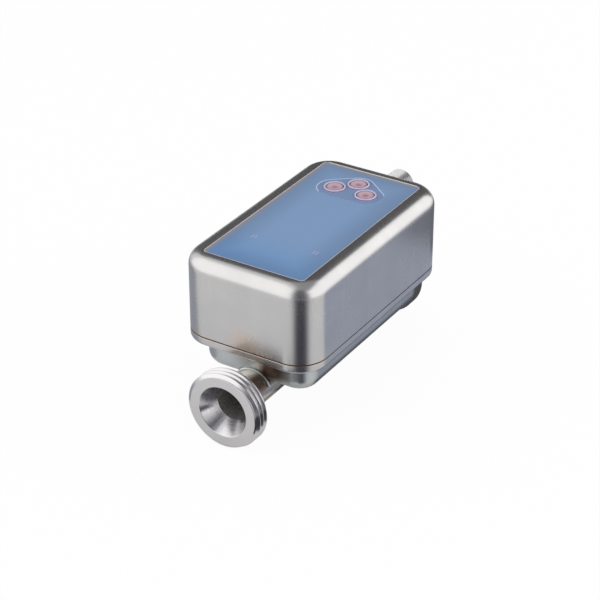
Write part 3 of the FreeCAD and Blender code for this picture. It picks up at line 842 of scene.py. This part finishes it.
def makePaneBead():
    # pale sealant in the gap round the glass, open in the four corners of the hood's opening; its pale
    # colour is partly a painted highlight along the glass edge
    gap = hood["openingGap"]
    inset = window["beadIn"]
    low = paneHigh.z - window["beadDeep"]
    high = paneHigh.z + window["beadRise"]
    outerLow = Vector((paneLow.x - gap, paneLow.y - gap, low))
    outerHigh = Vector((paneHigh.x + gap, paneHigh.y + gap, high))
    bead = uprightBlock("paneBead", outerLow, outerHigh, window["corner"] + gap, steps=8)
    innerLow = Vector((paneLow.x + inset, paneLow.y + inset, low - overcut))
    innerHigh = Vector((paneHigh.x - inset, paneHigh.y - inset, high + overcut))
    inner = uprightBlock("paneBeadRoom", innerLow, innerHigh, window["corner"] - inset, steps=8)
    combine(bead, inner, "DIFFERENCE")
    softenEdges(bead, window["beadSoft"])
    seat(bead, beadPale, [])


def makeKeyField():
    low = paneHigh.z - window["fieldSunk"]
    rise = window["fieldRise"] + window["fieldSunk"]
    field = fillOutline("keyField", [Vector((x, y, low)) for x, y in fieldOutline(0, 180, -180)])
    raiseUp(field, rise)
    tidyMesh(field)
    top = low + rise
    roundEdges(field, lambda a, b: min(a.z, b.z) > top - hair, window["fieldEdge"], steps=3)
    cutKeyHoles(field)
    seat(field, fieldBlue, [])


def makePrintLine():
    # painted highlight: a thin pale line round the outlet side of the keys, where the key field's raised
    # edge catches the light
    outline = fieldOutline(window["lineOut"], window["lineStart"], window["lineEnd"])
    line = drawLine("printLine", [Vector((x, y, paneHigh.z)) for x, y in outline])
    raiseUp(line, window["lineRise"])
    thick = line.modifiers.new("width", "SOLIDIFY")
    thick.thickness = window["lineWidth"]
    thick.offset = 0
    applyModifier(line, thick)
    tidyMesh(line)
    seat(line, linePale, [])


def makeMarks():
    # two pairs of short plain bars
    for number, (x, y) in enumerate(window["marks"]):
        bars = []
        for step in (-0.5, 0.5):
            middle = Vector((x, y + step * window["markGap"], paneHigh.z))
            half = Vector((window["markLong"] / 2, window["markWide"] / 2, window["lineRise"]))
            low = middle - half
            bars.append(uprightBlock(f"mark{number}", low, middle + half, window["markCorner"], steps=4))
        mark = joinPieces(bars)
        seat(mark, markLilac, [])


makePane()
makePaneBead()
makeKeyField()
makePrintLine()
makeMarks()
print("window made")


# press keys and the ring round each

key = {"radius": 3.5 * mm, "flange": 4.3 * mm, "flangeThick": 0.8 * mm, "stem": 1.5 * mm, "rim": 0.6 * mm,
       "dimple": 0.45 * mm, "dimpleSteps": 8, "soft": 0.15 * mm, "ringInner": 3.8 * mm,
       "ringOuter": 4.6 * mm, "ringSteps": 10, "steps": 64}


def makeKey(side):
    low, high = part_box("key_" + side)
    centre = keyCentre(side)
    top = high.z
    glassLow = paneLow.z
    flangeLow = glassLow - key["flangeThick"]
    soft = key["soft"]
    bowl = key["radius"] - key["rim"]
    sphere = (bowl ** 2 + key["dimple"] ** 2) / (2 * key["dimple"])
    bottom = top - key["dimple"]
    reaches = [bowl * k / key["dimpleSteps"] for k in range(key["dimpleSteps"] + 1)]
    dip = [(bottom + sphere - math.sqrt(sphere ** 2 - reach ** 2), reach) for reach in reaches]
    outline = dip + [(top, key["radius"] - soft), (top - soft, key["radius"]), (glassLow, key["radius"]),
                     (glassLow, key["flange"]), (flangeLow, key["flange"]), (flangeLow, key["stem"]),
                     (low.z, key["stem"]), (low.z, 0)]
    cap = turnRound("keyCap." + side, outline, (centre.x, centre.y, 0), (0, 0, 1), key["steps"])
    seat(cap, keyPink("key pink " + side, centre), ["key_" + side], side + "_key")


def makeRing(side):
    low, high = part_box("key_bezel_" + side)
    centre = keyCentre(side)
    middle = (key["ringInner"] + key["ringOuter"]) / 2
    half = (key["ringOuter"] - key["ringInner"]) / 2
    arc = arcPoints((middle, high.z - half), half, 0, 180, key["ringSteps"])
    dome = [(height, radius) for radius, height in arc]
    outline = [(low.z, key["ringInner"]), (low.z, key["ringOuter"])] + dome
    ring = turnRound("keyRing." + side, outline, (centre.x, centre.y, 0), (0, 0, 1), key["steps"])
    seat(ring, ringPale, ["key_bezel_" + side])


for side in keySides:
    makeKey(side)
    makeRing(side)
print("keys made")


# round plug connector: threaded shell and rounded pins

plug = {"bore": 4.4 * mm, "backBore": 3.9 * mm, "radius": 6.0 * mm, "chamfer": 0.8 * mm, "soft": 0.25 * mm,
        "flangeThick": 2.5 * mm, "sealThick": 0.8 * mm, "sleeveSunk": 0.3 * mm, "steps": 96, "smooth": 28,
        "thread": {"pitch": 1.0, "crest": 6.0, "root": 5.42, "steps": 96}, "threadSpare": 1.0 * mm,
        "pins": 4, "pinCircle": 2.5 * mm, "pinRadius": 0.5 * mm, "pinSteps": 20, "noseSteps": 6,
        "collar": 0.8 * mm, "collarLong": 0.8 * mm}


def makeShell():
    # threaded sleeve first, then flange and tail as one turned body
    flangeLow = hoodHigh.x + plug["sealThick"]
    flangeHigh = flangeLow + plug["flangeThick"]
    root = flangeHigh - plug["sleeveSunk"]
    end = shellHigh.x
    flangeRadius = shellHigh.z - plugHeight
    soft = plug["soft"]
    bore = plug["bore"]
    spare = plug["threadSpare"]
    wide = plug["radius"] + spare
    sleeveOutline = [(root, bore), (root, wide), (end - plug["chamfer"] - spare, wide),
                     (end, plug["radius"] - plug["chamfer"]), (end, bore + soft), (end - soft, bore)]
    sleeve = turnRound("plugSleeve", sleeveOutline, (0, 0, 0), (1, 0, 0), plug["steps"])
    shell = threadedRod("plugShell", plug["thread"], root - spare, end + spare)
    combine(shell, sleeve, "INTERSECT")
    bodyOutline = [(shellLow.x, plug["backBore"]), (shellLow.x, plug["radius"]), (flangeLow, plug["radius"]),
                   (flangeLow, flangeRadius), (flangeHigh - soft, flangeRadius),
                   (flangeHigh, flangeRadius - soft), (flangeHigh, bore), (insertLow.x, bore),
                   (insertLow.x, plug["backBore"])]
    body = turnRound("plugBody", bodyOutline, (0, 0, 0), (1, 0, 0), plug["steps"])
    joinPieces([shell, body])
    openEdit(shell, "VERT", "SELECT")
    bpy.ops.transform.translate(value=(0, 0, plugHeight))
    closeEdit()
    seat(shell, plugSteel, ["connector_shell"], angle=plug["smooth"])


def makePins():
    tip = plug["pinRadius"]
    back = insertLow.x
    collarStart = back - plug["collarLong"]
    nose = arcPoints((pinHigh.x - tip, 0), tip, 90, 0, plug["noseSteps"])
    outline = [(pinLow.x, 0), (pinLow.x, tip), (collarStart, tip), (collarStart, plug["collar"]),
               (back, plug["collar"]), (back, tip)] + nose
    pins = []
    for number in range(plug["pins"]):
        turn = 2 * math.pi * (number + 0.5) / plug["pins"]
        centre = (0, plug["pinCircle"] * math.cos(turn), plugHeight + plug["pinCircle"] * math.sin(turn))
        pins.append(turnRound("plugPins", outline, centre, (1, 0, 0), plug["pinSteps"]))
    group = joinPieces(pins)
    seat(group, pinGold, ["connector_pins"])


makeShell()
makePins()
print("plug connector made")


# pieces that keep their frame shape get their finish here

keptFinishes = {
    "window_seal": sealBlack, "carrier_frame": frameDark, "display_module": panelDark,
    "main_board": cardGreen, "power_board": cardGreen, "board_header": insertBlack,
    "lower_pillars": pillarBrass, "middle_pillars": pillarBrass, "top_pillars": pillarBrass,
    "stack_screws": headSteel, "connector_seal": sealBlack, "connector_nut": plugSteel,
    "connector_insert": insertBlack,
}
for side in keySides:
    keptFinishes["key_switch_" + side] = insertBlack
for side in ("upstream", "downstream"):
    keptFinishes["wedge_" + side] = wedgeAmber
    keptFinishes["piezo_" + side] = discCeramic
    keptFinishes["clamp_" + side] = strapSteel
for name, finish in keptFinishes.items():
    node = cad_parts[name]
    node.data.materials.clear()
    node.data.materials.append(finish)
print("inner pieces finished")


# studio: pale floor, two tall soft boxes, flags for the metal to mirror, some of them painted shadow on the
# floor, and the camera

studio = {"floor": 8.0, "paper": (0.93, 0.93, 0.935), "paperRough": 0.9, "floorGlow": 0.95,
          "floorMirror": 0.1, "world": 0.75, "lampColour": (1.0, 0.985, 0.965), "flagGap": 0.5 * mm,
          "target": (-8.95 * mm, 0.0, 22.21 * mm),
          "azimuth": -58.152, "elevation": 30.143, "distance": 806.4 * mm, "lens": 120.084, "sensor": 36.0,
          "clipEnd": 30.0}
white = (1, 1, 1)
target = Vector(studio["target"])
ground = startBox[0].z
flagHeight = ground + studio["flagGap"]
upperHeight = flagHeight + studio["flagGap"]


def towards(azimuth, elevation):
    turn = math.radians(azimuth)
    lift = math.radians(elevation)
    return Vector((math.sin(turn) * math.cos(lift), -math.cos(turn) * math.cos(lift), math.sin(lift)))


def makeFloor():
    deselect()
    bpy.ops.mesh.primitive_plane_add(size=studio["floor"], location=(0, 0, ground))
    floor = bpy.context.object
    floor.name = "studioFloor"
    paper = bpy.data.materials.new("floor paper")
    paper.use_nodes = True
    tree = paper.node_tree
    shader = tree.nodes["Principled BSDF"]
    shader.inputs["Base Color"].default_value = colourOf(studio["paper"])
    shader.inputs["Roughness"].default_value = studio["paperRough"]
    shader.inputs["Specular IOR Level"].default_value = 0.0
    glow = addNode(tree, "ShaderNodeEmission", {"Color": colourOf(white), "Strength": 1.0})
    path = addNode(tree, "ShaderNodeLightPath")
    seen = calc(tree, "MULTIPLY", path.outputs["Is Camera Ray"], studio["floorGlow"])
    mirrored = calc(tree, "MAXIMUM", path.outputs["Is Glossy Ray"], path.outputs["Is Transmission Ray"])
    share = calc(tree, "MAXIMUM", seen, calc(tree, "MULTIPLY", mirrored, studio["floorMirror"]))
    mix = addNode(tree, "ShaderNodeMixShader", {0: share, 1: shader.outputs[0], 2: glow.outputs[0]})
    tree.links.new(mix.outputs[0], tree.nodes["Material Output"].inputs["Surface"])
    floor.data.materials.append(paper)


def makeWorld():
    world = bpy.data.worlds.new("studio")
    bpy.context.scene.world = world
    world.use_nodes = True
    tree = world.node_tree
    sky = tree.nodes["Background"]
    sky.inputs["Color"].default_value = colourOf(white)
    path = addNode(tree, "ShaderNodeLightPath")
    seen = calc(tree, "MAXIMUM", path.outputs["Is Camera Ray"], path.outputs["Is Glossy Ray"])
    seen = calc(tree, "MAXIMUM", seen, path.outputs["Is Transmission Ray"])
    tree.links.new(remap(tree, seen, 0, 1, studio["world"], 1.0), sky.inputs["Strength"])


def softBox(name, azimuth, distance, width, height, glow):
    # upright diffuser that stands on the floor and faces the object
    aim = towards(azimuth, 0)
    middle = Vector((target.x, target.y, ground + height / 2))
    bpy.ops.object.light_add(type="AREA", location=middle + aim * distance)
    lamp = bpy.context.object
    lamp.name = name
    lamp.rotation_euler = aim.to_track_quat("Z", "Y").to_euler()
    lamp.data.shape = "RECTANGLE"
    lamp.data.size = width
    lamp.data.size_y = height
    lamp.data.energy = glow * math.pi * width * height
    lamp.data.color = studio["lampColour"]


def flag(name, corners, shade, fade=None):
    # seen only in the metal's mirror images, as a studio flag is
    card = fillOutline(name, corners)
    paint = bpy.data.materials.new(name)
    paint.use_nodes = True
    tree = paint.node_tree
    glow = addNode(tree, "ShaderNodeEmission", {"Color": colourOf(shade), "Strength": 1.0})
    surface = glow
    if fade:
        surface = fadeOut(tree, glow, *fade)
    tree.links.new(surface.outputs[0], tree.nodes["Material Output"].inputs["Surface"])
    card.data.materials.append(paint)
    for ray in ("visible_camera", "visible_diffuse", "visible_shadow", "visible_transmission"):
        setattr(card, ray, False)


def fadeOut(tree, glow, apex, azimuth, full, none):
    # solid within the angle "full" of the azimuth, clear from the angle "none"
    place = addNode(tree, "ShaderNodeTexCoord").outputs["Object"]
    reach = vectorMath(tree, "SUBTRACT", place, apex).outputs["Vector"]
    level = vectorMath(tree, "MULTIPLY", reach, (1, 1, 0)).outputs["Vector"]
    heading = vectorMath(tree, "NORMALIZE", level).outputs["Vector"]
    aim = vectorMath(tree, "DOT_PRODUCT", heading, towards(azimuth, 0)).outputs["Value"]
    turn = calc(tree, "ARCCOSINE", calc(tree, "MINIMUM", aim, 0.99999))  # rounding can pass 1
    share = ease(tree, turn, math.radians(full), math.radians(none), 0, 1)
    clear = addNode(tree, "ShaderNodeBsdfTransparent")
    return addNode(tree, "ShaderNodeMixShader", {0: share, 1: glow.outputs[0], 2: clear.outputs[0]})


def uprightFlag(name, azimuth, distance, width, height, shade, fade=None):
    aim = towards(azimuth, 0)
    across = towards(azimuth + 90, 0) * width / 2
    foot = Vector((target.x, target.y, flagHeight)) + aim * distance
    top = foot + Vector((0, 0, height))
    fade = fade and (target, azimuth, *fade)
    flag(name, [foot - across, foot + across, top + across, top - across], shade, fade)


def levelFlag(name, points, shade, height=flagHeight, fade=None):
    # corners in mm
    flag(name, [Vector((x * mm, y * mm, height)) for x, y in points], shade, fade)


def floorWedge(name, apex, azimuth, opening, near, far, shade, full, height=flagHeight):
    # widens from one corner of the housing, lengths in mm
    points = []
    for turn, reach in ((-opening, near), (-opening, far), (opening, far), (opening, near)):
        aim = towards(azimuth + turn, 0)
        points.append((apex[0] + aim.x * reach, apex[1] + aim.y * reach))
    centre = Vector((apex[0] * mm, apex[1] * mm, height))
    levelFlag(name, points, shade, height, (centre, azimuth, full, opening))


def makeCamera():
    aim = towards(studio["azimuth"], studio["elevation"])
    bpy.ops.object.camera_add(location=target + aim * studio["distance"])
    camera = bpy.context.object
    camera.rotation_euler = aim.to_track_quat("Z", "Y").to_euler()
    camera.data.sensor_width = studio["sensor"]
    camera.data.lens = studio["lens"]
    camera.data.clip_end = studio["clipEnd"]
    bpy.context.scene.camera = camera


makeFloor()
makeWorld()
softBox("leftBox", azimuth=-133, distance=0.6, width=1.33, height=1.5, glow=0.62)
softBox("rightBox", azimuth=27, distance=0.6, width=1.48, height=0.95, glow=0.70)
uprightFlag("cameraFlag", azimuth=-53.5, distance=0.6, width=0.93, height=2.2, shade=(0.135, 0.135, 0.165),
            fade=(13, 37))
uprightFlag("backFlag", azimuth=120, distance=0.8, width=1.25, height=1.25, shade=(0.14, 0.135, 0.14))
levelFlag("topFlag", [(440, 565), (-632, -335), (-150, -910), (920, -10)], (0.42, 0.42, 0.43), height=1.0)
floorWedge("frontFlag", apex=(-42, -24), azimuth=-53.5, opening=37, near=18, far=560,
           shade=(0.06, 0.06, 0.08), full=13)
# painted shadow: dark floor card beside the inlet head's foot, mirrored in the thread
floorWedge("threadFlag", apex=(-60, -18), azimuth=-75, opening=30, near=14, far=50,
           shade=(0.05, 0.05, 0.06), full=18, height=upperHeight)
# painted shadow: dark card for the object's shadow on the floor under the housing
levelFlag("underFlag", [(-25, -42), (95, -42), (95, 2), (-25, 2)], (0.11, 0.11, 0.12))
# painted shade: grey-blue card for the shaded floor to the right of the object
levelFlag("sideFlag", [(-20, -43), (110, -261), (320, -261), (320, 40), (98, 40), (98, -43)],
          (0.46, 0.50, 0.61))
levelFlag("plugFlag", [(122, -95), (300, -190), (300, 20), (122, 5)], (0.17, 0.18, 0.21), height=upperHeight)
levelFlag("rearFlag", [(-75, 40), (-140, 320), (260, 320), (110, 48)], (0.42, 0.44, 0.49))
makeCamera()
bpy.context.scene.view_settings.view_transform = "Standard"
print("studio set")
